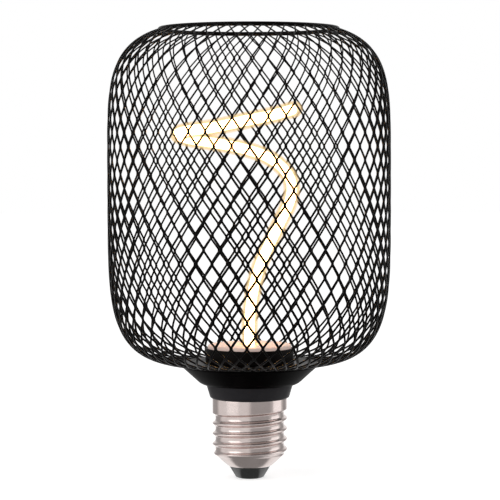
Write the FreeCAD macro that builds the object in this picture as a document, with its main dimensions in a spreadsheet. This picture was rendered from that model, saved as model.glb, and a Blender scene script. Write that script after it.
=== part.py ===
import FreeCAD, Part
import math
import os
import Sketcher

# A decorative LED filament lamp: a barrel cage of black expanded metal on a conical dish, over an E27 screw cap.
# The origin is the middle of the centre contact's lower face, +Z runs up the axis, lengths are millimetres.

# Screw cap
crest_radius = 13.1
root_radius = 12.1
thread_pitch = 3.63
thread_turns = 3.0
thread_lead_in = 1.8
ridge_crest = 1.1
ridge_foot = 2.7
ridge_root = 0.1
skirt_radius = 13.0
skirt_step = 0.4
shell_wall = 0.4
cone_mouth_radius = 7.2
cone_mouth_level = 4.6
cone_height = 5.0
thread_height = 14.1
skirt_height = 4.7

# Insulator and centre contact
contact_radius = 4.2
contact_height = 0.9
rivet_radius = 1.2
rivet_length = 2.1
insulator_foot_radius = 4.85
insulator_rise = 3.4

# Collar that the shell is crimped on
collar_foot_radius = 13.5
collar_top_radius = 15.0
collar_height = 3.8
spigot_bore = 9.8
spigot_clear = 3.4
web_thickness = 2.0

# Dish
dish_foot_radius = 15.3
dish_radius = 24.2
dish_height = 7.6
dish_wall = 1.5
stem_clearance = 0.3

# Cage: its shoulder and heel are squarer the higher their numbers across and along the axis are.
# The sheet is folded once for each fold angle, in radians, that a row of strands turns through.
cage_wall = 1.0
cage_radius = 49.3
cage_height = 117.0
belly_height = 62.2
shoulder_across = 6.8
shoulder_along = 4.4
heel_across = 4.8
heel_along = 4.7
rim_radius = 32.4
rim_wire = 1.5
strand_width = 2.3
gap_columns = 17
strand_rows = 6
fold_angle = 0.36

# Cup, plate and filament
cup_radius = 15.5
cup_height = 5.1
cup_wall = 2.4
cup_floor = 1.4
stem_radius = 6.2
stem_bore = 3.2
nut_flats = 15.0
nut_height = 3.0
stem_spare = 0.8
ledge_width = 1.5
ledge_height = 2.0
plate_height = 3.0
plate_clearance = 0.3
plate_bevel = 0.8
socket_wall = 1.2
socket_bore = 2.0
filament_radius = 3.0
filament_sides = 8

# Driver
board_thickness = 1.2
board_clearance = 0.25
board_height = 15.4
board_gap = 0.5
wire_radius = 0.4
neutral_wire_rise = 1.6
wire_seat = 0.02
lead_radius = 0.35
lead_offset = 1.3
capacitor_radius = 3.0
capacitor_length = 11.5
choke_radius = 2.9
choke_core = 2.1
choke_flange = 1.0
choke_height = 6.0
resistor_radius = 1.1
resistor_length = 5.5
film_width = 7.2
film_depth = 3.0
film_height = 6.0
bridge_width = 4.8
bridge_depth = 2.4
bridge_height = 4.6
chip_width = 4.0
chip_depth = 1.5
chip_height = 5.0
part_margin = 1.5

doc = FreeCAD.newDocument("caged_filament_lamp")
sheet = doc.addObject("Spreadsheet::Sheet", "sizes")


class Size:
    """A length with its value and the expression that ties it to the sheet of sizes."""

    def __init__(self, value, text):
        self.value = value
        self.text = text

    def joined(self, sign, other, value):
        right = other.text if isinstance(other, Size) else str(other)
        return Size(value, "(" + self.text + " " + sign + " " + right + ")")

    def __add__(self, other):
        return self.joined("+", other, self.value + number(other))

    def __sub__(self, other):
        return self.joined("-", other, self.value - number(other))

    def __mul__(self, other):
        return self.joined("*", other, self.value * number(other))

    def __truediv__(self, other):
        return self.joined("/", other, self.value / number(other))

    def __neg__(self):
        return Size(-self.value, "(-" + self.text + ")")


def number(size):
    """The plain number of a size, or of a number."""
    return size.value if isinstance(size, Size) else size


def slope(across, along):
    """The length of a slope over its height: how much thicker its wall is when measured sideways."""
    length = Size(math.hypot(across.value, along.value), "hypot(" + across.text + "; " + along.text + ")")
    return length / along


# Each size above goes into the sheet under its own name, and from here on that name stands for its cell
driving = {name: value for name, value in globals().items() if isinstance(value, (int, float))}
for row, (alias, value) in enumerate(driving.items(), 1):
    sheet.set("A" + str(row), alias)
    sheet.set("B" + str(row), str(value))
    sheet.setAlias("B" + str(row), alias)
    globals()[alias] = Size(value, "sizes." + alias)
doc.recompute()

# Levels and radii that follow from the sizes
cone_top = cone_mouth_level + cone_height
skirt_level = cone_top + thread_height
shell_top = skirt_level + skirt_height
collar_top = shell_top + collar_height
deck_level = collar_top + dish_height
cup_foot = deck_level + cage_wall
floor_level = cup_foot + cup_floor
ledge_level = floor_level + ledge_height
plate_top = ledge_level + plate_height
rim_level = deck_level + cage_height
belly_level = deck_level + belly_height
shell_bore = root_radius - shell_wall
skirt_bore = skirt_radius - shell_wall
spigot_foot = cone_top + spigot_clear
board_foot = cone_top + board_gap
board_top = board_foot + board_height
stem_hole = stem_radius + stem_clearance
nut_top = collar_top - web_thickness
stem_foot = nut_top - nut_height - stem_spare
socket_radius = filament_radius + socket_wall
plate_radius = cup_radius - cup_wall - plate_clearance
ledge_bore = cup_radius - cup_wall - ledge_width
cone_wall = shell_wall * slope(root_radius - cone_mouth_radius, cone_height)
dish_lean = (dish_radius - dish_foot_radius) / dish_height
dish_side = dish_wall * slope(dish_radius - dish_foot_radius, dish_height)


def plane(body, role):
    """One of the body's own origin planes."""
    return next(f for f in body.Origin.OriginFeatures if f.Role == role)


def outline(body, role, corners):
    """A closed sketch of straight lines, each corner held by its two distances from the origin."""
    sketch = body.newObject("Sketcher::SketchObject", "outline")
    sketch.AttachmentSupport = [(plane(body, role), "")]
    sketch.MapMode = "FlatFace"
    points = [FreeCAD.Vector(number(x), number(y), 0) for x, y in corners]
    count = len(points)
    for index in range(count):
        sketch.addGeometry(Part.LineSegment(points[index], points[(index + 1) % count]))
    for index in range(count):
        sketch.addConstraint(Sketcher.Constraint("Coincident", index, 2, (index + 1) % count, 1))
    for index, corner in enumerate(corners):
        for kind, size in zip(("DistanceX", "DistanceY"), corner):
            if not isinstance(size, Size):
                axis = -2 if kind == "DistanceX" else -1
                sketch.addConstraint(Sketcher.Constraint("PointOnObject", index, 1, axis))
                continue
            held = sketch.addConstraint(Sketcher.Constraint(kind, -1, 1, index, 1, size.value))
            sketch.setExpression("Constraints[" + str(held) + "]", size.text)
    return sketch


def turned(label, corners):
    """A body made by turning a closed outline of (radius, level) corners about the lamp's axis."""
    body = doc.addObject("PartDesign::Body", label)
    body.Label = label
    sketch = outline(body, "XZ_Plane", corners)
    turn = body.newObject("PartDesign::Revolution", "turn")
    turn.Profile = sketch
    turn.ReferenceAxis = (sketch, ["V_Axis"])
    turn.Angle = 360
    sketch.Visibility = False
    return body


def bind(thing, sizes):
    """Ties each named property to its size in the sheet."""
    for name, size in sizes.items():
        thing.setExpression(name, size.text)


def placed(thing, **place):
    """Moves a piece along the axes named, by sizes from the sheet."""
    bind(thing, {"Placement.Base." + axis: size for axis, size in place.items()})
    return thing


def cylinder(label, radius, height, **place):
    """An upright cylinder with the middle of its foot at the place."""
    rod = doc.addObject("Part::Cylinder", label)
    rod.Label = label
    bind(rod, {"Radius": radius, "Height": height})
    return placed(rod, **place)


def block(label, length, width, height, **place):
    """A box with its lowest corner at the place."""
    box = doc.addObject("Part::Box", label)
    box.Label = label
    bind(box, {"Length": length, "Width": width, "Height": height})
    return placed(box, **place)


def cut(label, base, tools):
    """The base with every tool taken out of it."""
    tool = doc.addObject("Part::Compound", label + "_tools")
    tool.Links = tools
    result = doc.addObject("Part::Cut", label)
    result.Base = base
    result.Tool = tool
    result.Label = label
    return result


def made(label, shape):
    """A piece whose shape is worked out here from the sheet's sizes."""
    piece = doc.addObject("Part::Feature", label)
    piece.Label = label
    piece.Shape = shape
    piece.Placement = FreeCAD.Placement()
    return piece


def bent_path(points, share=0.45):
    """Straight runs through the points, joined by tangent arcs.

    Each arc takes the same share of the shorter of the two runs beside it.
    """
    points = [FreeCAD.Vector(*p) for p in points]
    edges = []
    start = points[0]
    for before, corner, after in zip(points, points[1:], points[2:]):
        back = (before - corner).normalize()
        ahead = (after - corner).normalize()
        half_turn = (math.pi - back.getAngle(ahead)) / 2
        shorter = min((before - corner).Length, (after - corner).Length)
        reach = share * shorter
        radius = reach / math.tan(half_turn)
        arc_start = corner + back * reach
        arc_end = corner + ahead * reach
        bisector = (back + ahead).normalize()
        middle = corner + bisector * (radius / math.cos(half_turn) - radius)
        edges.append(Part.LineSegment(start, arc_start).toShape())
        edges.append(Part.Arc(arc_start, middle, arc_end).toShape())
        start = arc_end
    edges.append(Part.LineSegment(start, points[-1]).toShape())
    return Part.Wire(edges)


def rod_along(path, radius, sides):
    """A rod with so many flat sides, swept along a path."""
    first = path.Edges[0]
    start = first.valueAt(first.FirstParameter)
    direction = first.tangentAt(first.FirstParameter)
    corners = Part.makeCircle(radius, start, direction).discretize(Number=sides + 1)
    section = Part.makePolygon(corners[:-1] + corners[:1])
    return path.makePipeShell([section], True, False)


# Screw cap: a thin shell with a cone at its mouth, a rolled thread and a plain skirt
def screw_shell():
    body = turned("screw_shell", [
        (cone_mouth_radius - cone_wall, cone_mouth_level),
        (cone_mouth_radius, cone_mouth_level),
        (root_radius, cone_top),
        (root_radius, skirt_level - skirt_step),
        (skirt_radius, skirt_level),
        (skirt_radius, shell_top),
        (skirt_bore, shell_top),
        (skirt_bore, skirt_level),
        (shell_bore, skirt_level),
        (shell_bore, cone_top),
    ])
    doc.recompute()
    plain = body.Shape.Volume
    middle = cone_top + thread_lead_in
    ridge = outline(body, "YZ_Plane", [
        (root_radius - ridge_root, middle - ridge_foot / 2),
        (crest_radius, middle - ridge_crest / 2),
        (crest_radius, middle + ridge_crest / 2),
        (root_radius - ridge_root, middle + ridge_foot / 2),
    ])
    thread = body.newObject("PartDesign::AdditiveHelix", "thread")
    thread.Profile = ridge
    thread.ReferenceAxis = (ridge, ["V_Axis"])
    thread.Mode = "pitch-turns-angle"
    thread.LeftHanded = False
    bind(thread, {"Pitch": thread_pitch, "Turns": thread_turns})
    doc.recompute()
    if body.Shape.Volume <= plain:
        raise RuntimeError("the thread added nothing to the shell")
    return body


# Insulator: a glossy cone below the shell, carried on inside the shell's own cone
def insulator():
    mouth = cone_mouth_radius - cone_wall
    inner_top = mouth + (shell_bore - mouth) * insulator_rise / cone_height
    return turned("insulator", [
        (rivet_radius, contact_height),
        (insulator_foot_radius, contact_height),
        (cone_mouth_radius, cone_mouth_level),
        (mouth, cone_mouth_level),
        (inner_top, cone_mouth_level + insulator_rise),
        (rivet_radius, cone_mouth_level + insulator_rise),
    ])


def centre_contact():
    edge = contact_height / 2
    return turned("centre_contact", [
        (0, 0),
        (contact_radius - edge, 0),
        (contact_radius, edge),
        (contact_radius, contact_height),
        (rivet_radius, contact_height),
        (rivet_radius, contact_height + rivet_length),
        (0, contact_height + rivet_length),
    ])


# Collar: the shell is crimped on its spigot, the dish stands on its top, and the nut draws up against its web
def neck_collar():
    return turned("neck_collar", [
        (spigot_bore, spigot_foot),
        (shell_bore, spigot_foot),
        (shell_bore, skirt_level),
        (skirt_bore, skirt_level),
        (skirt_bore, shell_top),
        (collar_foot_radius, shell_top),
        (collar_top_radius, collar_top),
        (stem_hole, collar_top),
        (stem_hole, nut_top),
        (spigot_bore, nut_top),
    ])


# Dish: a hollow cone closed by a flat deck, on which the cage stands
def shade_dish():
    under_deck = deck_level - dish_wall
    inner_top = dish_radius - dish_wall * dish_lean - dish_side
    return turned("shade_dish", [
        (dish_foot_radius, collar_top),
        (dish_radius, deck_level),
        (stem_hole, deck_level),
        (stem_hole, under_deck),
        (inner_top, under_deck),
        (dish_foot_radius - dish_side, collar_top),
    ])


# Cup: its stem goes down through the cage, the dish and the collar, and the nut on it holds them together
def lamp_cup():
    return turned("lamp_cup", [
        (stem_bore, stem_foot),
        (stem_radius, stem_foot),
        (stem_radius, cup_foot),
        (cup_radius, cup_foot),
        (cup_radius, cup_foot + cup_height),
        (cup_radius - cup_wall, cup_foot + cup_height),
        (cup_radius - cup_wall, ledge_level),
        (ledge_bore, ledge_level),
        (ledge_bore, floor_level),
        (stem_bore, floor_level),
    ])


def lock_nut():
    sides = 6
    corner_radius = nut_flats / (2 * math.cos(math.pi / sides))
    hexagon = doc.addObject("Part::Prism", "nut_hexagon")
    hexagon.Polygon = sides
    bind(hexagon, {"Circumradius": corner_radius, "Height": nut_height})
    placed(hexagon, z=nut_top - nut_height)
    bore = cylinder("nut_bore", stem_radius, nut_height, z=nut_top - nut_height)
    return cut("lock_nut", hexagon, [bore])


def base_plate():
    return turned("base_plate", [
        (socket_radius, ledge_level),
        (plate_radius, ledge_level),
        (plate_radius, plate_top - plate_bevel),
        (plate_radius - plate_bevel, plate_top),
        (socket_radius, plate_top),
    ])


def filament_socket():
    return turned("filament_socket", [
        (socket_bore, floor_level),
        (socket_radius, floor_level),
        (socket_radius, plate_top),
        (filament_radius, plate_top),
        (filament_radius, ledge_level),
        (socket_bore, ledge_level),
    ])


# Filament: it rises straight from its socket, leans to the right, and turns nearly once round the lamp's axis.
# Each point of its route is (to the right, to the back, above the plate), chosen by eye.
FILAMENT_ROUTE = [
    (0.0, 0.0, 11.5),
    (2.6, -1.5, 26.0),
    (9.8, -3.0, 41.0),
    (15.6, -0.5, 52.5),
    (14.2, 8.0, 60.0),
    (7.0, 16.0, 66.0),
    (-4.0, 19.5, 69.3),
    (-14.5, 16.5, 71.0),
    (-23.0, 8.5, 72.4),
    (-25.6, -1.5, 73.9),
    (-21.0, -11.0, 74.9),
    (-12.0, -17.5, 75.8),
    (-2.0, -20.0, 78.0),
    (8.0, -18.0, 79.9),
    (18.5, -9.5, 83.0),
]


def led_filament():
    foot = (0.0, 0.0, ledge_level.value)
    route = [(x, y, z + plate_top.value) for x, y, z in FILAMENT_ROUTE]
    path = bent_path([foot] + route)
    sides = int(filament_sides.value)
    rod = rod_along(path, filament_radius.value, sides)
    section = sides / 2 * filament_radius.value ** 2 * math.sin(2 * math.pi / sides)
    expected = section * path.Length
    print("filament length", round(path.Length, 1), "volume ratio", round(rod.Volume / expected, 5))
    return made("led_filament", rod)


# Rim: the ring that the cage's upper strands are welded to, with six flats
def rim_ring():
    half = rim_wire / 2
    quarter = rim_wire / 4
    middle = rim_level + half
    return turned("rim_ring", [
        (rim_radius - quarter, middle - half),
        (rim_radius + quarter, middle - half),
        (rim_radius + half, middle),
        (rim_radius + quarter, middle + half),
        (rim_radius - quarter, middle + half),
        (rim_radius - half, middle),
    ])


# Cage: a sheet slit and pulled open into diamond gaps, then formed into a barrel.
# Strands are straight between folds, so the sheet is made of flat facets between upright columns.
def barrel_arc(end_radius, height, across, along, count=12):
    """Points (radius, height over the belly) of a superellipse that starts at the widest radius.

    (radius / widest) ^ across + (height / reach) ^ along = 1, with the reach set so that it ends where it should.
    """
    widest = cage_radius.value
    last = math.acos((end_radius / widest) ** (across / 2))
    reach = height / math.sin(last) ** (2 / along)
    arc = []
    for step in range(count + 1):
        angle = last * step / count
        arc.append((widest * math.cos(angle) ** (2 / across), reach * math.sin(angle) ** (2 / along)))
    return arc


def cage_profile():
    """The middle of the sheet as one smooth curve, from the rim over the belly down to the flange."""
    belly = belly_level.value
    foot = deck_level.value + cage_wall.value / 2
    shoulder = barrel_arc(rim_radius.value, rim_level.value - belly, shoulder_across.value, shoulder_along.value)
    heel = barrel_arc(dish_radius.value, belly - foot, heel_across.value, heel_along.value)
    points = [FreeCAD.Vector(r, 0, belly + h) for r, h in reversed(shoulder)]
    points += [FreeCAD.Vector(r, 0, belly - h) for r, h in heel[1:]]
    curve = Part.BSplineCurve()
    curve.interpolate(points)
    return curve


# Rows and columns are compared as rounded numbers, so this much is added before a whole part is taken
HAIR = 1e-9
ROW_DIGITS = 6


class FormedSheet:
    """The formed sheet's folds: each has a row number, and the (radius, level) of its outer and inner face."""

    def __init__(self):
        self.sides = 2 * int(gap_columns.value)
        self.rows = int(strand_rows.value)
        self.folds = []
        self.curve = cage_profile()
        self.row_height = self.curve.length() / self.rows
        for row in range(self.rows):
            self.add_row(row)
        bore = stem_hole.value / math.cos(math.pi / self.sides)
        for row, radius in ((self.rows, dish_radius.value), (self.rows + 1, bore)):
            self.folds.append((row, (radius, deck_level.value), (radius, cup_foot.value)))

    def add_row(self, row):
        """Folds one row of strands as often as the barrel's turn within it asks."""
        start, end = (self.curve.tangent(self.parameter(row + e))[0] for e in (0, 1))
        parts = max(1, round(start.getAngle(end) / fold_angle.value))
        for part in range(parts):
            self.add_fold(row + part / parts)

    def parameter(self, row):
        return self.curve.parameterAtDistance(self.row_height * row)

    def add_fold(self, row):
        """One fold: half the wall goes to each side of the curve, and the rim's edge is cut level."""
        half = cage_wall.value / 2
        point = self.curve.value(self.parameter(row))
        way = self.curve.tangent(self.parameter(row))[0]
        across, up = (half, 0.0) if row == 0 else (-way.z * half, way.x * half)
        outer = (point.x + across, point.z + up)
        inner = (point.x - across, point.z - up)
        self.folds.append((row, outer, inner))

    def point(self, row, column, face):
        """A point of the outer (face 1) or inner (face 2) side, at a row and column that need not be whole."""
        below = max(i for i, fold in enumerate(self.folds) if fold[0] <= row + HAIR)
        above = min(below + 1, len(self.folds) - 1)
        span = self.folds[above][0] - self.folds[below][0]
        share = (row - self.folds[below][0]) / span if span else 0.0
        low, high = self.folds[below][face], self.folds[above][face]
        radius = low[0] + (high[0] - low[0]) * share
        level = low[1] + (high[1] - low[1]) * share
        first = math.floor(column + HAIR)
        corners = []
        for side in (first, first + 1):
            angle = 2 * math.pi * side / self.sides - math.pi / 2
            corners.append(FreeCAD.Vector(radius * math.cos(angle), radius * math.sin(angle), level))
        return corners[0] + (corners[1] - corners[0]) * (column - first)


def strand_outline(start, end, half, rising):
    """The part of a strand between two folds, as (across, along) corners in a facet one column wide.

    Along runs from 0 to 1 down the row. The strand crosses from side 0 to side 1, or back if it isn't rising.
    """
    left = [(max(0.0, start - half), start)]
    if start < half < end:
        left.append((0.0, half))
    left.append((max(0.0, end - half), end))
    right = [(min(1.0, end + half), end)]
    if start < 1 - half < end:
        right.append((1.0, 1 - half))
    right.append((min(1.0, start + half), start))
    corners = []
    for corner in left + right:
        if corner not in corners:
            corners.append(corner)
    if not rising:
        corners = [(1 - across, along) for across, along in reversed(corners)]
    return corners


def cage_facets(formed):
    """Every facet as a loop of (row, column) corners: strands in the rows, and a closed band for the flange."""
    side = 2 * math.pi * cage_radius.value / formed.sides
    slant = math.atan2(side, formed.row_height)
    half = strand_width.value / 2 / math.cos(slant) / side
    folds = [fold[0] for fold in formed.folds]
    facets = []
    for column in range(formed.sides):
        for start, end in zip(folds, folds[1:]):
            row = int(start + HAIR)
            rising = (row + column) % 2 == 0
            if row < formed.rows:
                corners = strand_outline(start - row, end - row, half, rising)
            else:
                split = (half, 0.0) if rising else (1 - half, 0.0)
                corners = [(0.0, 0.0), (0.0, 1.0), (1.0, 1.0), (1.0, 0.0), split]
            facets.append([(row + along, column + across) for across, along in corners])
    return facets


def mesh_cage():
    formed = FormedSheet()
    facets = cage_facets(formed)
    faces = []
    edges = {}
    for facet in facets:
        outer = [formed.point(row, column, 1) for row, column in facet]
        inner = [formed.point(row, column, 2) for row, column in reversed(facet)]
        for corners in (outer, inner):
            faces.append(Part.Face(Part.makePolygon(corners + corners[:1])))
        # the last column meets the first, so an edge is named by its place round the barrel
        names = [(round(row, ROW_DIGITS), round(column, ROW_DIGITS) % formed.sides) for row, column in facet]
        for index, name in enumerate(names):
            after = (index + 1) % len(names)
            edges[(name, names[after])] = (facet[index], facet[after])
    for (start, end), (first, last) in edges.items():
        if (end, start) in edges:
            continue
        a, b = formed.point(*first, 1), formed.point(*last, 1)
        c, d = formed.point(*last, 2), formed.point(*first, 2)
        faces.append(Part.Face(Part.makePolygon([b, a, c, b])))
        faces.append(Part.Face(Part.makePolygon([a, d, c, a])))
    skin = Part.makeCompound(faces)
    skin.sewShape()
    solid = Part.Solid(Part.Shell(skin.Faces))
    if solid.Volume < 0:
        solid.reverse()
    if not solid.Shells[0].isClosed():
        raise RuntimeError("the cage's sheet isn't closed")
    return made("mesh_cage", solid)


# Driver in the cap: an upright board whose edges stand in the collar's bore, with parts on both its faces
def driver():
    face = board_thickness / 2
    half_wide = spigot_bore - board_clearance
    half_gap = part_margin / 2
    first_row = board_foot + part_margin
    block("driver_board", half_wide * 2, board_thickness, board_height, x=-half_wide, y=-face, z=board_foot)
    cylinder("smoothing_capacitor", capacitor_radius, capacitor_length,
             x=-(capacitor_radius + half_gap), y=-(face + capacitor_radius), z=first_row)
    cylinder("fuse_resistor", resistor_radius, resistor_length,
             x=choke_radius + half_gap, y=-(face + resistor_radius), z=first_row + choke_height + part_margin)
    block("bridge_rectifier", bridge_width, bridge_depth, bridge_height,
          x=-(bridge_width + half_gap), y=face, z=first_row)
    block("driver_chip", chip_width, chip_depth, chip_height, x=half_gap, y=face, z=first_row)
    block("film_capacitor", film_width, film_depth, film_height,
          x=-film_width / 2, y=face, z=first_row + chip_height + part_margin)


def driver_choke():
    body = turned("driver_choke", [
        (0, 0),
        (choke_radius, 0),
        (choke_radius, choke_flange),
        (choke_core, choke_flange),
        (choke_core, choke_height - choke_flange),
        (choke_radius, choke_height - choke_flange),
        (choke_radius, choke_height),
        (0, choke_height),
    ])
    return placed(body, x=choke_radius + part_margin / 2, y=-(board_thickness / 2 + choke_radius),
                  z=board_foot + part_margin)


def wires():
    """Straight wires: from the contact's rivet and the shell to the board, and from it to the filament's foot."""
    rivet_top = contact_height + rivet_length
    cylinder("live_wire", wire_radius, board_foot - rivet_top, z=rivet_top)
    board_edge = spigot_bore - board_clearance
    neutral = cylinder("neutral_wire", wire_radius, shell_bore - board_edge - wire_seat,
                       x=board_edge, z=board_foot + neutral_wire_rise)
    neutral.Placement.Rotation = FreeCAD.Rotation(FreeCAD.Vector(0, 1, 0), 90)
    for label, offset in (("lead_plus", lead_offset), ("lead_minus", -lead_offset)):
        cylinder(label, lead_radius, ledge_level - board_top, x=offset, z=board_top)


screw_shell()
insulator()
centre_contact()
neck_collar()
shade_dish()
lamp_cup()
base_plate()
filament_socket()
lock_nut()
led_filament()
rim_ring()
mesh_cage()
driver()
driver_choke()
wires()
doc.recompute()

NODES = [
    "rim_ring", "mesh_cage", "shade_dish", "neck_collar", "lamp_cup", "base_plate", "filament_socket",
    "led_filament", "lock_nut", "screw_shell", "insulator", "centre_contact", "driver_board",
    "bridge_rectifier", "driver_chip", "film_capacitor", "smoothing_capacitor", "driver_choke",
    "fuse_resistor", "live_wire", "neutral_wire", "lead_plus", "lead_minus",
]

for thing in doc.Objects:
    for word in ("Invalid", "Error"):
        if word in thing.State:
            raise RuntimeError(thing.Label + " is in state " + word)

os.makedirs("parts", exist_ok=True)
for label in NODES:
    piece = doc.getObjectsByLabel(label)[0]
    if piece.Shape.isNull() or not piece.Shape.isValid():
        raise RuntimeError(label + " has no valid shape")
    piece.Shape.exportStep(os.path.join("parts", label + ".step"))
    print(label, round(piece.Shape.Volume, 2))
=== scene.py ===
import math

import bpy
import numpy as np
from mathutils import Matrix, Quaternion, Vector


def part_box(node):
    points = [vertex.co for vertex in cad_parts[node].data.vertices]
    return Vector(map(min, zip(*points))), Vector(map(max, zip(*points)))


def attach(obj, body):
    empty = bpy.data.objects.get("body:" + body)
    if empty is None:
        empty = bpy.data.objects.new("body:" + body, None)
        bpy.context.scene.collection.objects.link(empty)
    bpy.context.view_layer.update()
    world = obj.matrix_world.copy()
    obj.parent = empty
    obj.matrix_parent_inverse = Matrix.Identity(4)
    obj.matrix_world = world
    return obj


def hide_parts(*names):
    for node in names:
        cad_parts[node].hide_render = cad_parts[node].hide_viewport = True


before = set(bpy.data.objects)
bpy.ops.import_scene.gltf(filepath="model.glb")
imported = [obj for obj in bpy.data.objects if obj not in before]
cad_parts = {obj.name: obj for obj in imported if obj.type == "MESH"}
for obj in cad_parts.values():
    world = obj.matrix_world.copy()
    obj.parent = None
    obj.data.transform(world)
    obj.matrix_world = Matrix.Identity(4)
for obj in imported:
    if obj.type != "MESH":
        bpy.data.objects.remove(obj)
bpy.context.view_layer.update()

# A lit LED filament lamp: a barrel cage of black expanded metal on a black dish, over a nickel
# plated screw cap. Lengths are written in millimetres and become metres when a mesh is made.

MM = 0.001
TURN = 2 * math.pi


def level(node, top=True):
    """The highest or lowest level of a CAD node, in millimetres."""
    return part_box(node)[1 if top else 0][2] / MM


# Levels taken from the frame
deck_level = level("shade_dish")
collar_top = level("neck_collar")
shell_top = level("screw_shell")
cone_mouth_level = level("screw_shell", top=False)
ledge_level = level("base_plate", top=False)
plate_top = level("base_plate")
cup_top = level("lamp_cup")
stem_foot = level("lamp_cup", top=False)
rim_level = level("rim_ring", top=False)
rim_top = level("rim_ring")


# Meshes

def unit(vectors):
    """Vectors of the same directions and of length one."""
    return vectors / np.linalg.norm(vectors, axis=-1, keepdims=True)


def mesh_piece(name, vertices, faces, material, stands_for):
    """A finished piece from its vertices in millimetres and its faces."""
    mesh = bpy.data.meshes.new(name)
    mesh.from_pydata((np.asarray(vertices) * MM).tolist(), [], faces)
    mesh.polygons.foreach_set("use_smooth", np.ones(len(mesh.polygons), dtype=bool))
    mesh.materials.append(material)
    mesh.validate()
    piece = bpy.data.objects.new(name, mesh)
    bpy.context.scene.collection.objects.link(piece)
    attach(piece, "root")
    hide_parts(*stands_for)
    return piece


def closed_surface(name, points, material, stands_for):
    """A mesh from a grid of points (rows, columns, xyz) that is joined round both ways.

    Faces point outwards where rows x columns, as a cross product, points outwards.
    """
    rows, columns = points.shape[:2]
    index = np.arange(rows * columns).reshape(rows, columns)
    after = np.roll(index, -1, axis=0)
    quads = np.stack([index, after, np.roll(after, -1, axis=1), np.roll(index, -1, axis=1)],
                     axis=-1)
    faces = quads.reshape(-1, 4).tolist()
    return mesh_piece(name, points.reshape(-1, 3), faces, material, stands_for)


def capped_tubes(name, grids, material, stands_for):
    """Tubes with flat ends in one mesh, from a grid of tubes, stations and section points.

    Faces point outwards where stations x section points, as a cross product, points outwards.
    """
    count, stations, sides = grids.shape[:3]
    index = np.arange(count * stations * sides).reshape(count, stations, sides)
    low, high = index[:, :-1], index[:, 1:]
    quads = np.stack([low, high, np.roll(high, -1, axis=2), np.roll(low, -1, axis=2)], axis=-1)
    faces = quads.reshape(-1, 4).tolist()
    faces += index[:, 0].tolist() + index[:, -1, ::-1].tolist()
    return mesh_piece(name, grids.reshape(-1, 3), faces, material, stands_for)


def rounded(corners, steps=5):
    """A closed outline of (radius, level) points from corners (radius, level, rounding).

    Each corner becomes a quadratic curve that leaves one side and joins the next, its rounding
    away from the corner. A corner without rounding stays sharp.
    """
    corners = np.array(corners, dtype=float)
    here = corners[:, :2]
    share = np.linspace(0, 1, steps)[:, None]
    outline = []
    for corner, before, after, rounding in zip(here, np.roll(here, 1, axis=0),
                                               np.roll(here, -1, axis=0), corners[:, 2]):
        if rounding == 0:
            outline.append(corner[None])
            continue
        start = corner + unit(before - corner) * rounding
        end = corner + unit(after - corner) * rounding
        outline.append((1 - share) ** 2 * start + 2 * share * (1 - share) * corner
                       + share ** 2 * end)
    return np.concatenate(outline)


def turned(outline, sides):
    """An outline of (radius, level) points turned clockwise about the axis, as a grid of points.

    Each point goes to (radius * cos, radius * sin, level) of the angle.
    """
    angle = np.linspace(0, -TURN, sides, endpoint=False)[:, None]
    radius, height = outline[:, 0], outline[:, 1]
    return np.stack([radius * np.cos(angle), radius * np.sin(angle), height + 0 * angle], axis=-1)


def turned_piece(name, corners, material, stands_for, sides=128):
    """A hollow body of revolution with rounded edges.

    Its corners run clockwise round the section, as seen with the axis at the left.
    """
    return closed_surface(name, turned(rounded(corners), sides), material, stands_for)


def poled_piece(name, outline, material, stands_for, sides=64):
    """A body of revolution whose outline starts and ends on the axis, with a shared point there."""
    outline = np.array(outline, dtype=float)
    ring = turned(outline[1:-1], sides)
    columns = ring.shape[1]
    index = np.arange(sides * columns).reshape(sides, columns)
    after = np.roll(index, -1, axis=0)
    quads = np.stack([index[:, :-1], after[:, :-1], after[:, 1:], index[:, 1:]], axis=-1)
    first, last = np.full(sides, sides * columns), np.full(sides, sides * columns + 1)
    fans = np.concatenate([np.stack([first, after[:, 0], index[:, 0]], axis=-1),
                           np.stack([index[:, -1], after[:, -1], last], axis=-1)])
    poles = [(0.0, 0.0, outline[0, 1]), (0.0, 0.0, outline[-1, 1])]
    return mesh_piece(name, np.concatenate([ring.reshape(-1, 3), poles]),
                      quads.reshape(-1, 4).tolist() + fans.tolist(), material, stands_for)


# Materials

def linear(code):
    """A colour from its sRGB hex code.

    A channel c becomes c / 12.92 if dark, else ((c + 0.055) / 1.055) ** 2.4.
    """
    channels = [int(code[i:i + 2], 16) / 255 for i in (0, 2, 4)]
    return [c / 12.92 if c <= 0.04045 else ((c + 0.055) / 1.055) ** 2.4 for c in channels] + [1.0]


def add(tree, kind, inputs=None, **settings):
    """Adds one node. Its settings are properties, each input a value or another node's output."""
    item = tree.nodes.new("ShaderNode" + kind)
    for name, value in settings.items():
        setattr(item, name, value)
    for name, value in (inputs or {}).items():
        if isinstance(value, bpy.types.NodeSocket):
            tree.links.new(value, item.inputs[name])
        else:
            item.inputs[name].default_value = value
    return item


def new_material(name):
    """An empty node material and its tree."""
    material = bpy.data.materials.new(name)
    material.use_nodes = True
    material.node_tree.nodes.clear()
    return material, material.node_tree


# A Mix node's sockets by number: its factor, its two numbers, its two colours and its mixed colour
FACTOR, FIRST_NUMBER, SECOND_NUMBER, FIRST_COLOUR, SECOND_COLOUR, MIXED = 0, 2, 3, 6, 7, 2
# Between these lie most of a noise's values
NOISE_LOW, NOISE_HIGH = 0.25, 0.75
CLOUD_GRAINS = 12


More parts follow.
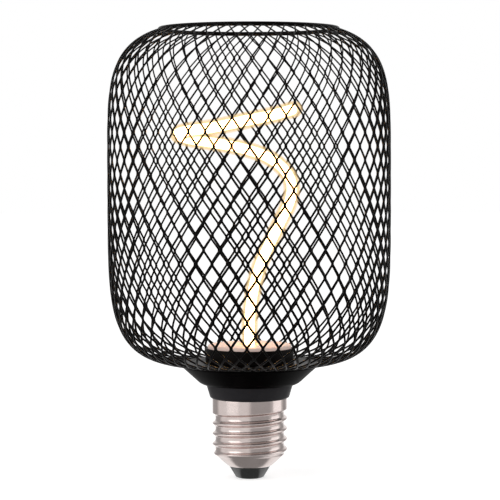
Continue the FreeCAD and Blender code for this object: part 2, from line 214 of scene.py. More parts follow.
def finish_material(name, dark, light, roughness, grain, bump=0.05, metallic=0.0, ior=1.5,
                    spread=0.06, shine=0.5):
    """A surface whose colour wanders between two close tones, with a grain in gloss and height.

    grain is the size of that grain in millimetres, and the clouds of tone are twelve times as
    large. spread is how far the roughness strays to either side, and shine the specular level.
    """
    material, tree = new_material(name)
    place = add(tree, "TexCoord").outputs["Object"]
    cloud = add(tree, "TexNoise", {"Vector": place, "Scale": 1 / (CLOUD_GRAINS * grain * MM),
                                   "Detail": 3.0})
    fine = add(tree, "TexNoise", {"Vector": place, "Scale": 1 / (grain * MM), "Detail": 2.0})
    tone = add(tree, "MapRange", {"Value": cloud.outputs["Fac"], "From Min": NOISE_LOW,
                                  "From Max": NOISE_HIGH})
    colour = add(tree, "Mix", {FACTOR: tone.outputs[0], FIRST_COLOUR: linear(dark),
                               SECOND_COLOUR: linear(light)}, data_type="RGBA")
    gloss = add(tree, "MapRange", {"Value": fine.outputs["Fac"], "From Min": NOISE_LOW,
                                   "From Max": NOISE_HIGH, "To Min": roughness - spread,
                                   "To Max": roughness + spread})
    height = add(tree, "Bump", {"Height": fine.outputs["Fac"], "Strength": bump,
                                "Distance": grain * MM})
    shader = add(tree, "BsdfPrincipled", {
        "Base Color": colour.outputs[MIXED], "Roughness": gloss.outputs[0],
        "Normal": height.outputs[0], "Metallic": metallic, "Specular IOR Level": shine})
    if metallic == 0.0:
        shader.inputs["IOR"].default_value = ior
    add(tree, "OutputMaterial", {"Surface": shader.outputs[0]})
    return material


# The grains are drawn as coarse as they need to show. Most real ones are near 0.05 mm.

# Satin enamel over steel wire: near black and a little brown, a soft highlight along each strand
satin_enamel = finish_material("satin_black_enamel_on_steel", "020101", "080504", 0.3, 0.25,
                               bump=0.08, shine=0.06)
# Stoved enamel on the spun dish: near black and almost without a sheen
dish_enamel = finish_material("stoved_black_enamel_on_spun_dish", "010101", "040203", 0.38, 0.3,
                              bump=0.04, shine=0.01)
# Glass-filled polyester, moulded: the collar, dark grey with a soft even sheen
moulded_polyester = finish_material("moulded_black_polyester", "19171b", "211f23", 0.4, 0.2,
                                    bump=0.06, shine=0.16)
# Glass-filled polyamide, moulded: the cup, near black and a little brown
moulded_polyamide = finish_material("moulded_black_polyamide", "0a0605", "120d0b", 0.5, 0.2,
                                    bump=0.06, shine=0.08)
# Nickel plate on drawn brass: a warm grey metal, fairly sharp
nickel_plate = finish_material("nickel_plated_drawn_brass", "d6c7c3", "e0d3cf", 0.16, 0.4,
                               bump=0.02, metallic=1.0)
# Vitrified insulator, fired: black-green glass with a wet gloss
insulator_glass = finish_material("black_vitrified_glass", "07090a", "0c1010", 0.06, 0.5,
                                  bump=0.01, ior=1.8, spread=0.03)
# Tinned contact, stamped: dull grey metal like solder
tinned_brass = finish_material("tinned_brass_contact", "6c706e", "7e8280", 0.35, 0.3, metallic=1.0)
# Zinc plated steel nut: pale bluish grey with a soft gloss
zinc_steel = finish_material("zinc_plated_steel", "9a9c9e", "b4b6b8", 0.3, 0.3, bump=0.04,
                             metallic=1.0)
# Polycarbonate, moulded: the filament's socket, warm white with a soft gloss
white_moulding = finish_material("moulded_white_polycarbonate", "e2dcd6", "ece7e1", 0.4, 0.25,
                                 bump=0.04)
# Glass fibre laminate, pressed: mottled green, half glossy
board_laminate = finish_material("green_glass_fibre_laminate", "1f5a2f", "2a6b3a", 0.35, 0.3)
# Epoxy, moulded: dull black on the bridge and the chip
black_epoxy = finish_material("moulded_black_epoxy", "17171a", "202024", 0.55, 0.15)
# Epoxy, dipped: glossy red-brown on the film capacitor
film_case = finish_material("dipped_epoxy_film_capacitor", "8c4620", "a0552a", 0.25, 0.4)
# Sleeve film, shrunk on: glossy dark blue on the electrolytic capacitor
sleeve_film = finish_material("shrunk_sleeve_film", "1c2238", "262d47", 0.25, 0.4)
# Ferrite, sintered: dull charcoal on the choke
ferrite_core = finish_material("sintered_ferrite", "232225", "302e31", 0.6, 0.2)
# Lacquer, dipped: grey-blue with a soft gloss on the fuse resistor
resistor_enamel = finish_material("resistor_lacquer", "5b7f94", "6f93a6", 0.35, 0.3)
# Copper wire, drawn and thinly tinned: warm and fairly bright
tinned_copper = finish_material("tinned_copper_wire", "b87352", "d29070", 0.3, 0.2, metallic=1.0)

PLATE_CLOUD = 5.0
# Strength of the plate's painted glow, which stands in for the filament's light falling on the
# plate
PLATE_PAINTED_GLOW = 0.22
CHIP_SPACING = 1.9
CORE_DIM, CORE_BRIGHT = 28.0, 36.0
HAZE_GRAIN = 2.0
HAZE_SPREAD = 0.3


def plate_with_painted_glow():
    """Opal polymethacrylate, cast: pinkish white, with a painted glow that stands in for the
    filament's light falling on it.
    """
    material, tree = new_material("opal_acrylic_plate_painted_glow")
    place = add(tree, "TexCoord").outputs["Object"]
    cloud = add(tree, "TexNoise", {"Vector": place, "Scale": 1 / (PLATE_CLOUD * MM),
                                   "Detail": 2.0})
    colour = add(tree, "Mix", {FACTOR: cloud.outputs["Fac"], FIRST_COLOUR: linear("e6cabf"),
                               SECOND_COLOUR: linear("efd6cb")}, data_type="RGBA")
    # The emission is a painted glow: the plate is no lamp, and this stands in for the filament's
    # light on it
    shader = add(tree, "BsdfPrincipled", {
        "Base Color": colour.outputs[MIXED], "Roughness": 0.3, "IOR": 1.49,
        "Emission Color": colour.outputs[MIXED], "Emission Strength": PLATE_PAINTED_GLOW})
    add(tree, "OutputMaterial", {"Surface": shader.outputs[0]})
    return material


def lit_phosphor():
    """Phosphor silicone, moulded over a row of chips: white hot, a little brighter at each chip.

    The strength goes up and down as the cosine of a turn for each chip along the strip.
    """
    material, tree = new_material("lit_phosphor_silicone")
    place = add(tree, "UVMap").outputs[0]
    along = add(tree, "SeparateXYZ", {"Vector": place}).outputs["X"]
    wave = add(tree, "Math", {0: along, 1: TURN / CHIP_SPACING}, operation="MULTIPLY")
    pulse = add(tree, "Math", {0: wave.outputs[0]}, operation="COSINE")
    strength = add(tree, "MapRange", {"Value": pulse.outputs[0], "From Min": -1.0,
                                      "From Max": 1.0, "To Min": CORE_DIM,
                                      "To Max": CORE_BRIGHT})
    glow = add(tree, "Emission", {"Color": linear("ffc98c"), "Strength": strength.outputs[0]})
    add(tree, "OutputMaterial", {"Surface": glow.outputs[0]})
    return material


def lit_silicone(name, glow_colour, share):
    """Milky silicone, moulded and lit from inside: a warm haze that the core shows through.

    Most light passes, and a share of what is seen is the haze's own glow.
    """
    material, tree = new_material(name)
    place = add(tree, "TexCoord").outputs["Object"]
    haze = add(tree, "TexNoise", {"Vector": place, "Scale": 1 / (HAZE_GRAIN * MM),
                                  "Detail": 2.0})
    amount = add(tree, "MapRange", {"Value": haze.outputs["Fac"],
                                    "To Min": (1 - HAZE_SPREAD) * share,
                                    "To Max": (1 + HAZE_SPREAD) * share})
    clear = add(tree, "BsdfTransparent", {"Color": linear("fffaf2")})
    glow = add(tree, "Emission", {"Color": linear(glow_colour), "Strength": 1.0})
    mixed = add(tree, "MixShader", {0: amount.outputs[0], 1: clear.outputs[0],
                                    2: glow.outputs[0]})
    add(tree, "OutputMaterial", {"Surface": mixed.outputs[0]})
    return material


opal_plate_painted_glow = plate_with_painted_glow()
phosphor = lit_phosphor()
outer_silicone = lit_silicone("clear_silicone_skin", "ffd9a0", 0.14)
middle_silicone = lit_silicone("milky_silicone", "ffe3ae", 0.26)
inner_silicone = lit_silicone("dense_milky_silicone", "fff1c8", 0.5)


# Cage: a slit sheet pulled open into diamond gaps and formed into a barrel

CAGE_RADIUS = 49.3
BELLY_LEVEL = deck_level + 62.2
RIM_RADIUS = 31.0
DISH_RADIUS = 24.2
FLANGE_WALL = 1.0
STEM_HOLE = 6.5
# Powers of the barrel's curve, across and along the axis, above and below the belly
SHOULDER_POWERS = (3.514, 5.256)
HEEL_POWERS = (4.8, 4.7)


def barrel_arc(end_radius, height, across, along, count=400):
    """Half a superellipse as (radius, height over the belly), as far as its end radius.

    On it, (radius / widest) ^ across + (height / reach) ^ along = 1.
    """
    last = math.acos((end_radius / CAGE_RADIUS) ** (across / 2))
    reach = height / math.sin(last) ** (2 / along)
    angle = np.linspace(0, last, count)
    return CAGE_RADIUS * np.cos(angle) ** (2 / across), reach * np.sin(angle) ** (2 / along)


def barrel():
    """The middle of the sheet: distance down from the rim, radius and level, as three arrays."""
    foot = deck_level + FLANGE_WALL / 2
    top = (rim_level + rim_top) / 2
    shoulder_radius, shoulder_height = barrel_arc(RIM_RADIUS, top - BELLY_LEVEL, *SHOULDER_POWERS)
    heel_radius, heel_depth = barrel_arc(DISH_RADIUS, BELLY_LEVEL - foot, *HEEL_POWERS)
    radius = np.concatenate([shoulder_radius[::-1], heel_radius[1:]])
    height = np.concatenate([BELLY_LEVEL + shoulder_height[::-1], BELLY_LEVEL - heel_depth[1:]])
    distance = np.concatenate([[0.0], np.cumsum(np.hypot(np.diff(radius), np.diff(height)))])
    return distance, radius, height


STRAND_PAIRS = 52
# Height of a row of gaps and where the first one starts, down the sheet from the rim
ROW_HEIGHT = 4.847
ROW_START = 0.64
# Turn of the first pair of strands from the front, and their slow drift a row, in radians
FRONT_PHASE = 0.0235
ROW_TWIST = -0.00179
# The strands are wider and thicker low down
STRAND_LEVELS = (deck_level, 50.0, 70.0, 100.0, 130.0, rim_top)
STRAND_WIDTHS = (0.8, 0.86, 0.82, 0.76, 0.63, 0.53)
STRAND_THICKNESSES = (0.58, 0.58, 0.58, 0.58, 0.56, 0.44)
# A bonded strand's middle is this far from the bond's, for this share of a row to either side
BOND_REACH = 0.16
BOND_SHARE = 0.11
ROW_STATIONS = (BOND_SHARE, 0.36, 0.64, 1 - BOND_SHARE)
# Degrees from the edge of a strand's section to the corner of its flat face
FACE_CORNER = 62


def strand_stations(length):
    """Stations down a sheet of this length: the distances, and the rows counted there."""
    rows = np.arange(-1, math.floor((length - ROW_START) / ROW_HEIGHT) + 1)[:, None]
    along = ROW_START + ROW_HEIGHT * (rows + np.array(ROW_STATIONS)).ravel()
    along = np.concatenate([[0.0], along[(along > 0) & (along < length)], [length]])
    return along, (along - ROW_START) / ROW_HEIGHT


def cage_strands():
    """All strands of the cage as one grid: strands, stations, points round the section, xyz.

    A strand zigzags: it stands half a pitch to one side at even rows and to the other at odd
    rows, less half its own width, so that neighbours lie side by side where they are bonded. Its
    section is a flattened hexagon, set across the strand's own direction and square to the sheet.
    """
    distance, radius, height = barrel()
    along, row = strand_stations(distance[-1])
    r = np.interp(along, distance, radius)
    z = np.interp(along, distance, height)

    # Middle of every strand
    swing = 1 - np.abs(row % 2 - 1)
    swing = np.clip((swing - BOND_SHARE) / (1 - 2 * BOND_SHARE), 0, 1)
    half_pitch = math.pi / STRAND_PAIRS
    offset = BOND_REACH / r
    reach = offset + (half_pitch - 2 * offset) * swing
    pair = np.arange(STRAND_PAIRS)[:, None]
    base = TURN / STRAND_PAIRS * pair + FRONT_PHASE + ROW_TWIST * row
    angle = np.concatenate([base + reach, base - reach])
    centre = np.stack([r * np.sin(angle), -r * np.cos(angle), z + 0 * angle], axis=-1)

    # Its own direction, out of the sheet, and across the strand
    way = unit(np.gradient(centre, axis=1))
    slope_r = np.gradient(r, along)
    slope_z = np.gradient(z, along)
    out = unit(np.stack([-slope_z * np.sin(angle), slope_z * np.cos(angle),
                         slope_r + 0 * angle], axis=-1))
    side = unit(np.cross(way, out))

    # Section
    turn = np.radians([0, FACE_CORNER, 180 - FACE_CORNER, 180, 180 + FACE_CORNER,
                       360 - FACE_CORNER])[:, None]
    width = np.interp(z, STRAND_LEVELS, STRAND_WIDTHS)[:, None, None]
    thickness = np.interp(z, STRAND_LEVELS, STRAND_THICKNESSES)[:, None, None]
    across = np.cos(turn) * width / 2
    through = np.sin(turn) * thickness / 2 / math.sin(math.radians(FACE_CORNER))
    return centre[:, :, None] + across * side[:, :, None] + through * out[:, :, None]


def rim_grid(sides=16, stations=160):
    """A torus: a circle of the wire's radius carried round the rim."""
    wire = (rim_top - rim_level) / 2
    around = np.linspace(0, TURN, stations, endpoint=False)[:, None]
    section = np.linspace(0, TURN, sides, endpoint=False)
    r = RIM_RADIUS + wire * np.cos(section)
    z = rim_level + wire + wire * np.sin(section)
    return np.stack([r * np.cos(around), r * np.sin(around), z + 0 * around], axis=-1)


capped_tubes("expanded_mesh", cage_strands(), satin_enamel, ["mesh_cage"])
turned_piece("cage_flange", [
    (STEM_HOLE, deck_level + FLANGE_WALL, 0),
    (DISH_RADIUS, deck_level + FLANGE_WALL, 0.3),
    (DISH_RADIUS, deck_level, 0.3),
    (STEM_HOLE, deck_level, 0),
], satin_enamel, ["mesh_cage"])
closed_surface("rim_wire", rim_grid(), satin_enamel, ["rim_ring"])


# Dish, collar, cup and plate

COLLAR_FOOT_RADIUS = 13.85
COLLAR_TOP_RADIUS = 15.3
COLLAR_LIP = collar_top + 1.0
WEB_LEVEL = collar_top - 2.0
DISH_FOOT_RADIUS = 16.3
DISH_WALL = 1.5

turned_piece("spun_dish", [
    (STEM_HOLE, deck_level, 0.2),
    (DISH_RADIUS, deck_level, 0.5),
    (DISH_RADIUS - 2.0, deck_level - 1.8, 1.5),
    (DISH_FOOT_RADIUS + 1.2, COLLAR_LIP + 0.5, 1.0),
    (DISH_FOOT_RADIUS, COLLAR_LIP, 0.2),
    (DISH_FOOT_RADIUS - 2.3, COLLAR_LIP, 0.2),
    (DISH_RADIUS - 4.0, deck_level - DISH_WALL, 0.6),
    (STEM_HOLE, deck_level - DISH_WALL, 0.2),
], dish_enamel, ["shade_dish"])

# The collar's spigot goes down inside the shell, and steps in above the thread
SPIGOT_TOP_RADIUS = 12.6
SPIGOT_RADIUS = 11.6
SPIGOT_STEP = 25.2
SPIGOT_FOOT = 13.0
SPIGOT_BORE = 9.8

turned_piece("moulded_collar", [
    (STEM_HOLE, collar_top, 0.2),
    (COLLAR_TOP_RADIUS - 2.2, collar_top, 0.2),
    (COLLAR_TOP_RADIUS - 2.0, COLLAR_LIP, 0.2),
    (COLLAR_TOP_RADIUS, COLLAR_LIP, 0.25),
    (COLLAR_FOOT_RADIUS, shell_top, 0.5),
    (SPIGOT_TOP_RADIUS, shell_top, 0),
    (SPIGOT_TOP_RADIUS, SPIGOT_STEP, 0),
    (SPIGOT_RADIUS, SPIGOT_STEP, 0.2),
    (SPIGOT_RADIUS, SPIGOT_FOOT, 0.3),
    (SPIGOT_BORE, SPIGOT_FOOT, 0.3),
    (SPIGOT_BORE, WEB_LEVEL, 0.3),
    (STEM_HOLE, WEB_LEVEL, 0.2),
], moulded_polyester, ["neck_collar"])

CUP_RADIUS = 15.5
CUP_LIP = 0.7
CUP_WALL = 2.4
CUP_WELL_RADIUS = 11.6
CUP_FLOOR = 42.2
CUP_FOOT = 40.8
STEM_RADIUS = 6.2
STEM_BORE = 3.2
PLATE_STEP = cup_top - 0.6

turned_piece("moulded_cup", [
    (STEM_BORE, CUP_FLOOR, 0.2),
    (CUP_WELL_RADIUS, CUP_FLOOR, 0.2),
    (CUP_WELL_RADIUS, ledge_level, 0.2),
    (CUP_RADIUS - CUP_WALL, ledge_level, 0.2),
    (CUP_RADIUS - CUP_WALL, PLATE_STEP, 0.1),
    (CUP_RADIUS - CUP_LIP, PLATE_STEP, 0.1),
    (CUP_RADIUS - CUP_LIP, cup_top, 0.2),
    (CUP_RADIUS, cup_top, 0.4),
    (CUP_RADIUS, CUP_FOOT, 0.3),
    (STEM_RADIUS, CUP_FOOT, 0.2),
    (STEM_RADIUS, stem_foot, 0.4),
    (STEM_BORE, stem_foot, 0.4),
], moulded_polyamide, ["lamp_cup"])

PLATE_PLAY = 0.1
PLATE_RADIUS = CUP_RADIUS - CUP_LIP - PLATE_PLAY
PLATE_FOOT_RADIUS = CUP_RADIUS - CUP_WALL - PLATE_PLAY
SOCKET_RADIUS = 4.2
FILAMENT_RADIUS = 3.0
LEAD_BORE = 2.0

turned_piece("opal_disc", [
    (SOCKET_RADIUS, plate_top, 0.15),
    (PLATE_RADIUS, plate_top, 0.9),
    (PLATE_RADIUS, PLATE_STEP, 0.3),
    (PLATE_FOOT_RADIUS, PLATE_STEP, 0.1),
    (PLATE_FOOT_RADIUS, ledge_level, 0.3),
    (SOCKET_RADIUS, ledge_level, 0.1),
], opal_plate_painted_glow, ["base_plate"])

turned_piece("foot_socket", [
    (FILAMENT_RADIUS, plate_top, 0.2),
    (SOCKET_RADIUS, plate_top, 0.3),
    (SOCKET_RADIUS, CUP_FLOOR, 0.2),
    (LEAD_BORE, CUP_FLOOR, 0.2),
    (LEAD_BORE, ledge_level, 0.1),
    (FILAMENT_RADIUS, ledge_level, 0.1),
], white_moulding, ["filament_socket"], sides=64)


# Filament

# Its route as (right, back, above the plate)
FILAMENT_ROUTE = np.array([
    (0.0, 0.0, 11.5),
    (2.6, -1.5, 26.0),
    (9.8, -3.0, 41.0),
    (15.6, -0.5, 52.5),
    (14.2, 8.0, 60.0),
    (7.0, 16.0, 66.0),
    (-4.0, 19.5, 69.3),
    (-14.5, 16.5, 71.0),
    (-23.0, 8.5, 72.4),
    (-25.6, -1.5, 73.9),
    (-21.0, -11.0, 74.9),
    (-12.0, -17.5, 75.8),
    (-2.0, -20.0, 78.0),
    (8.0, -18.0, 79.9),
    (18.5, -9.5, 83.0),
])
# A direction that the route never takes
OFF_ROUTE = (0.64, 0.0, -0.77)
# A tip's last ring, as a share of the radius, so that its cap keeps its corners apart
TIP_SHARE = 0.02
# Stations on the straight run from the socket, on each bend, on the straight end and on the dome
FOOT_STEPS, BEND_STEPS, END_STEPS, DOME_STEPS = 6, 12, 8, 8


def filament_path():
    """A quadratic spline from the socket up the route, as a row of points.

    Each bend starts and ends at the middles of two of the route's runs, with the point between
    them as its control.
    """
    controls = np.concatenate([[(0.0, 0.0, ledge_level - plate_top)], FILAMENT_ROUTE])
    controls = controls + (0, 0, plate_top)
    middles = (controls[:-1] + controls[1:]) / 2
    share = np.linspace(0, 1, BEND_STEPS, endpoint=False)[None, :, None]
    first, corner, last = middles[:-1, None], controls[1:-1, None], middles[1:, None]
    bends = (1 - share) ** 2 * first + 2 * share * (1 - share) * corner + share ** 2 * last
    lead_in = np.linspace(0, 1, FOOT_STEPS, endpoint=False)[:, None]
    lead_out = np.linspace(0, 1, END_STEPS)[:, None]
    return np.concatenate([controls[0] + (middles[0] - controls[0]) * lead_in,
                           bends.reshape(-1, 3),
                           middles[-1] + (controls[-1] - middles[-1]) * lead_out])


def round_ended(path, radius):
    """The path and the radius along it, with a dome of quarter-circle profile at its far end."""
    tip_way = unit(path[-1] - path[-2])
    angle = np.linspace(0, math.pi / 2, DOME_STEPS)[1:]
    stem = path[np.linalg.norm(path - path[-1], axis=1) > radius]
    dome = stem[-1] + tip_way * radius * np.sin(angle)[:, None]
    dome_radii = radius * np.cos(angle).clip(TIP_SHARE)
    return np.concatenate([stem, dome]), np.concatenate([np.full(len(stem), radius), dome_radii])


def tube(path, radii, sides):
    """A tube of round section along a path, as a grid of points.

    Its section is set out from the path's direction crossed with one that the path never takes.
    """
    way = unit(np.gradient(path, axis=0))
    aside = unit(np.cross(way, OFF_ROUTE))
    over = np.cross(way, aside)
    turn = np.linspace(0, TURN, sides, endpoint=False)[::-1, None]
    ring = np.cos(turn) * aside[:, None] + np.sin(turn) * over[:, None]
    return path[:, None] + radii[:, None, None] * ring


def length_uv(piece, path, sides):
    """Gives the piece a UV map: millimetres along the path, and sides round it."""
    run = np.concatenate([[0.0], np.cumsum(np.linalg.norm(np.diff(path, axis=0), axis=1))])
    per_vertex = np.stack([np.repeat(run, sides), np.tile(np.arange(sides), len(path))], axis=1)
    corners = np.empty(len(piece.data.loops), dtype=int)
    piece.data.loops.foreach_get("vertex_index", corners)
    piece.data.uv_layers.new(name="run").data.foreach_set("uv", per_vertex[corners].ravel())


# Skins of the filament from outside in, and the lit core: name, material, radius, sides, and how
# many of the path's last points each leaves out, so that it ends inside the skin round it
FILAMENT_SKINS = [
    ("silicone_jacket", outer_silicone, FILAMENT_RADIUS, 24, 0),
    ("silicone_milk", middle_silicone, 2.6, 24, 1),
    ("silicone_bed", inner_silicone, 2.2, 24, 2),
    ("phosphor_core", phosphor, 1.75, 16, 3),
]
route = filament_path()
for name, material, radius, sides, left_out in FILAMENT_SKINS:
    skin_path, skin_radii = round_ended(route[:len(route) - left_out], radius)
    skin = capped_tubes(name, tube(skin_path, skin_radii, sides)[None], material,
                        ["led_filament"])
    if material == phosphor:  # its chips are set out along its length
        length_uv(skin, skin_path, sides)


# Screw cap

CREST_RADIUS = 13.2
ROOT_RADIUS = 12.1
THREAD_PITCH = 3.63
FIRST_CREST = 10.35
CREST_SHARPNESS = 2.2
MOUTH_LEVEL = cone_mouth_level - 0.35
MOUTH_RADIUS = 7.4
CONE_TOP = MOUTH_LEVEL + 4.15
CONE_BULGE = 0.86
SKIRT_LEVEL = 23.5
SKIRT_SWAY = 0.7
SKIRT_RADIUS = 13.15
SHELL_WALL = 0.4
# Below and above the skirt's edge, between these the radius steps out to the skirt's
STEP_FOOT, STEP_TOP = -0.5, 0.25
# The thread's depth grows over one length from a little below the cone's top, and fades over
# another to a little below the skirt's edge
THREAD_LEAD, THREAD_GROWTH = 0.5, 1.6
THREAD_STOP, THREAD_FADE = 0.2, 1.2
# Rows of points up the cone and the thread, how far above the skirt's level the thread's rows end,
# and how far below the shell's edge the last row is
CONE_ROWS, THREAD_ROWS = 14, 112
ROWS_PAST_SKIRT = 1.2
SHELL_EDGE = 0.3


def shell_grid(columns=180):
    """The rolled shell as a grid of (angle, level), outside and then back down inside.

    The radius is the root's plus the thread's depth times a wave: half of 1 + cos of the turns
    from the nearest crest, to a power that sharpens the crests. The crest climbs one pitch a
    turn, counter-clockwise from the right. The thread fades into the cone and the skirt. The
    skirt's lower edge follows the thread's end: it stands higher on the right and lower on the
    left, as a cosine. Up the cone the radius grows as the height's share of the cone to a power
    under one, so that it bulges a little.
    """
    angle = np.linspace(0, TURN, columns, endpoint=False)[:, None]
    thread_top = SKIRT_LEVEL + ROWS_PAST_SKIRT
    levels = np.concatenate([np.linspace(MOUTH_LEVEL, CONE_TOP, CONE_ROWS, endpoint=False),
                             np.linspace(CONE_TOP, thread_top, THREAD_ROWS, endpoint=False),
                             [thread_top, shell_top - SHELL_EDGE, shell_top]])
    over_edge = levels - SKIRT_LEVEL - SKIRT_SWAY * np.cos(angle)
    plain = np.interp(over_edge, [STEP_FOOT, STEP_TOP], [ROOT_RADIUS, SKIRT_RADIUS])
    up_the_cone = np.clip((levels - MOUTH_LEVEL) / (CONE_TOP - MOUTH_LEVEL), 0, 1)
    plain = plain - (ROOT_RADIUS - MOUTH_RADIUS) * (1 - up_the_cone ** CONE_BULGE)

    turns = (levels - FIRST_CREST) / THREAD_PITCH - angle / TURN
    wave = (0.5 + 0.5 * np.cos(TURN * turns)) ** CREST_SHARPNESS
    growth = np.clip((levels - CONE_TOP + THREAD_LEAD) / THREAD_GROWTH, 0, 1)
    fade = np.clip((-THREAD_STOP - over_edge) / THREAD_FADE, 0, 1)
    radius = plain + (CREST_RADIUS - ROOT_RADIUS) * wave * (growth * fade)

    r = np.concatenate([radius, radius[:, ::-1] - SHELL_WALL], axis=1)
    z = np.concatenate([levels, levels[::-1]]) + 0 * angle
    return np.stack([r * np.cos(angle), r * np.sin(angle), z], axis=-1)


closed_surface("rolled_shell", shell_grid(), nickel_plate, ["screw_shell"])

# The insulator stands in the cone up to a shelf, and the contact's shank goes up its bore
SHELF_RADIUS = 10.0
SHELF_LEVEL = 8.0
NECK_RADIUS = 6.95
INSULATOR_RADIUS = 7.3
INSULATOR_FOOT_RADIUS = 4.95
CONTACT_BORE = 1.2
CONTACT_LEVEL = 0.3

turned_piece("glass_insulator", [
    (CONTACT_BORE, SHELF_LEVEL, 0.1),
    (SHELF_RADIUS, SHELF_LEVEL, 0.1),
    (NECK_RADIUS, MOUTH_LEVEL, 0.0),
    (INSULATOR_RADIUS, MOUTH_LEVEL, 0.15),
    (INSULATOR_FOOT_RADIUS, CONTACT_LEVEL, 0.25),
    (CONTACT_BORE, CONTACT_LEVEL, 0.0),
], insulator_glass, ["insulator"])

SHANK_TOP = 3.0
CONTACT_RADIUS = 4.2

poled_piece("contact_disc", [
    (0.0, SHANK_TOP),
    (CONTACT_BORE - 0.1, SHANK_TOP),
    (CONTACT_BORE, SHANK_TOP - 0.1),
    (CONTACT_BORE, CONTACT_LEVEL),
    (CONTACT_RADIUS - 0.05, CONTACT_LEVEL),
    (CONTACT_RADIUS, 0.24),
    (CONTACT_RADIUS - 0.05, 0.1),
    (CONTACT_RADIUS - 0.3, 0.03),
    (CONTACT_RADIUS - 0.7, 0.0),
    (0.0, 0.0),
], tinned_brass, ["centre_contact"])


# Carried-over nodes get their finishes

NODE_FINISHES = {
    "lock_nut": zinc_steel,
    "driver_board": board_laminate,
    "bridge_rectifier": black_epoxy,
    "driver_chip": black_epoxy,
    "film_capacitor": film_case,
    "smoothing_capacitor": sleeve_film,
    "driver_choke": ferrite_core,
    "fuse_resistor": resistor_enamel,
    "live_wire": tinned_copper,
    "neutral_wire": tinned_copper,
    "lead_plus": tinned_copper,
    "lead_minus": tinned_copper,
}
for node, material in NODE_FINISHES.items():
    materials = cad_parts[node].data.materials
    materials.clear()
    materials.append(material)


# Floor and studio

FLOOR_CLOUD = 250.0
FLOOR_REACH = 3000.0
# The floor's own light, which makes it white to the camera where nothing shades it
FLOOR_LIFT = 0.62


def floor_material():
    """Matt white paper, uncoated: even white where unshaded. Reflections look past it."""
    material, tree = new_material("matt_white_floor")
    place = add(tree, "TexCoord").outputs["Object"]
    cloud = add(tree, "TexNoise", {"Vector": place, "Scale": 1 / (FLOOR_CLOUD * MM),
                                   "Detail": 1.0})
    tone = add(tree, "Mix", {FACTOR: cloud.outputs["Fac"], FIRST_COLOUR: linear("fbfbfb"),
                             SECOND_COLOUR: linear("ffffff")}, data_type="RGBA")
    matt = add(tree, "BsdfDiffuse", {"Color": tone.outputs[MIXED]})
    ray = add(tree, "LightPath").outputs
    seen = add(tree, "Math", {0: ray["Is Camera Ray"], 1: ray["Is Transmission Ray"]},
               operation="MAXIMUM")
    lift = add(tree, "Math", {0: seen.outputs[0], 1: FLOOR_LIFT}, operation="MULTIPLY")
    white = add(tree, "Emission", {"Color": linear("ffffff"), "Strength": lift.outputs[0]})
    both = add(tree, "AddShader", {0: matt.outputs[0], 1: white.outputs[0]})
    past = add(tree, "BsdfTransparent", {"Color": linear("ffffff")})
    either = add(tree, "MixShader", {0: ray["Is Glossy Ray"], 1: both.outputs[0],
                                     2: past.outputs[0]})
    add(tree, "OutputMaterial", {"Surface": either.outputs[0]})
    return material


floor_mesh = bpy.data.meshes.new("studio_floor")
floor_mesh.from_pydata([(x * FLOOR_REACH * MM, y * FLOOR_REACH * MM, 0) for x, y in
                        ((-1, -1), (1, -1), (1, 1), (-1, 1))], [], [(0, 1, 2, 3)])
floor_mesh.materials.append(floor_material())
floor = bpy.data.objects.new("studio_floor", floor_mesh)
bpy.context.scene.collection.objects.link(floor)

# The world's light on the object
AMBIENT = 0.45
# How bright a polished surface finds the studio round the lamp, as (bearing in degrees, strength),
# from straight behind by the left to the front and on by the right to behind. The backdrop is
# white, and two dark screens stand beside the camera.
STUDIO_ROUND = [
    (-180, 1.0), (-165, 1.0), (-150, 0.4), (-120, 0.4), (-108, 0.84), (-4, 0.84), (6, 0.42),
    (64, 0.42), (72, 0.56), (118, 0.66), (128, 0.38), (146, 0.38), (158, 1.0), (180, 1.0),
]
# Low down a polished surface finds a bright table, and a dark gap straight below the lamp. Each
# fades in between two heights of the line of sight, which is -1 straight down and 0 level.
TABLE_FULL, TABLE_START = -0.55, -0.45
GAP_FULL, GAP_START = -0.83, -0.76
GAP_STRENGTH = 0.28


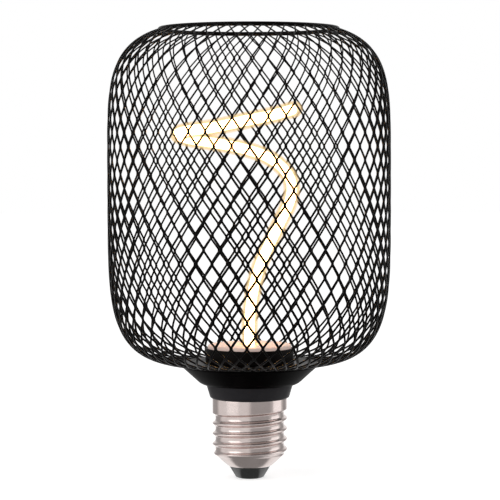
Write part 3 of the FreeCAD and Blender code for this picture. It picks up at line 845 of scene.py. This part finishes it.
def studio_world():
    """A pale studio: white to the camera, softer as light, and in zones for reflections."""
    world = bpy.data.worlds.new("pale_studio")
    world.use_nodes = True
    tree = world.node_tree
    tree.nodes.clear()
    ray = add(tree, "LightPath").outputs
    seen = add(tree, "Math", {0: ray["Is Camera Ray"], 1: ray["Is Transmission Ray"]},
               operation="MAXIMUM")
    plain = add(tree, "MapRange", {"Value": seen.outputs[0], "To Min": AMBIENT, "To Max": 1.0})

    # The bearing is 0 at the front, and grows to the right
    toward = add(tree, "SeparateXYZ",
                 {"Vector": add(tree, "TexCoord").outputs["Generated"]}).outputs
    front = add(tree, "Math", {0: toward["Y"], 1: -1.0}, operation="MULTIPLY")
    bearing = add(tree, "Math", {0: toward["X"], 1: front.outputs[0]}, operation="ARCTAN2")
    share = add(tree, "MapRange", {"Value": bearing.outputs[0], "From Min": -math.pi,
                                   "From Max": math.pi})
    ramp = add(tree, "ValToRGB", {"Fac": share.outputs[0]})
    stops = ramp.color_ramp.elements
    for degrees, strength in STUDIO_ROUND[1:-1]:
        stops.new((degrees + 180) / 360)
    for stop, (degrees, strength) in zip(stops, STUDIO_ROUND):
        stop.position = (degrees + 180) / 360
        stop.color = (strength, strength, strength, 1.0)

    table = add(tree, "MapRange", {"Value": toward["Z"], "From Min": TABLE_FULL,
                                   "From Max": TABLE_START, "To Min": 1.0, "To Max": 0.0})
    gap = add(tree, "MapRange", {"Value": toward["Z"], "From Min": GAP_FULL,
                                 "From Max": GAP_START, "To Min": GAP_STRENGTH})
    round_about = add(tree, "Mix", {FACTOR: table.outputs[0],
                                    FIRST_NUMBER: ramp.outputs["Color"], SECOND_NUMBER: 1.0})
    zones = add(tree, "Math", {0: round_about.outputs[0], 1: gap.outputs[0]},
                operation="MULTIPLY")
    power = add(tree, "Mix", {FACTOR: ray["Is Glossy Ray"], FIRST_NUMBER: plain.outputs[0],
                              SECOND_NUMBER: zones.outputs[0]})
    shine = add(tree, "Background", {"Color": linear("ffffff"), "Strength": power.outputs[0]})
    add(tree, "OutputWorld", {"Surface": shine.outputs[0]})
    return world


LIGHT_AIM = (0, 0, 60)


def softbox(name, place, width, height, watts):
    """A rectangular lamp at a place, turned to face the object."""
    lamp = bpy.data.lights.new(name, "AREA")
    lamp.shape = "RECTANGLE"
    lamp.size = width * MM
    lamp.size_y = height * MM
    lamp.energy = watts
    box = bpy.data.objects.new(name, lamp)
    box.location = Vector(place) * MM
    box.rotation_euler = (Vector(LIGHT_AIM) - Vector(place)).to_track_quat("-Z", "Y").to_euler()
    bpy.context.scene.collection.objects.link(box)


bpy.context.scene.world = studio_world()
softbox("left_softbox", (-700, -500, 350), width=700, height=900, watts=2.0)
softbox("right_softbox", (790, 70, 300), width=600, height=900, watts=1.2)


# Camera

PIXELS = 500
PIXELS_PER_MM = 2.85
CAMERA_DISTANCE = 720.0
CAMERA_HEIGHT = 115.3
AIM_HEIGHT = 80.3
AXIS_SHIFT = 0.25
CAMERA_ROLL = -0.0025
SENSOR = 36.0

camera_data = bpy.data.cameras.new("camera")
camera = bpy.data.objects.new("camera", camera_data)
bpy.context.scene.collection.objects.link(camera)
eye = Vector((AXIS_SHIFT, -CAMERA_DISTANCE, CAMERA_HEIGHT))
aim = Vector((AXIS_SHIFT, 0, AIM_HEIGHT))
camera.location = eye * MM
level_view = (aim - eye).to_track_quat("-Z", "Y")
camera.rotation_euler = (level_view @ Quaternion((0, 0, 1), CAMERA_ROLL)).to_euler()
camera_data.sensor_width = SENSOR
camera_data.lens = PIXELS_PER_MM * (aim - eye).length / PIXELS * SENSOR
camera_data.clip_end = 20.0
bpy.context.scene.camera = camera
bpy.context.scene.view_settings.view_transform = "Standard"
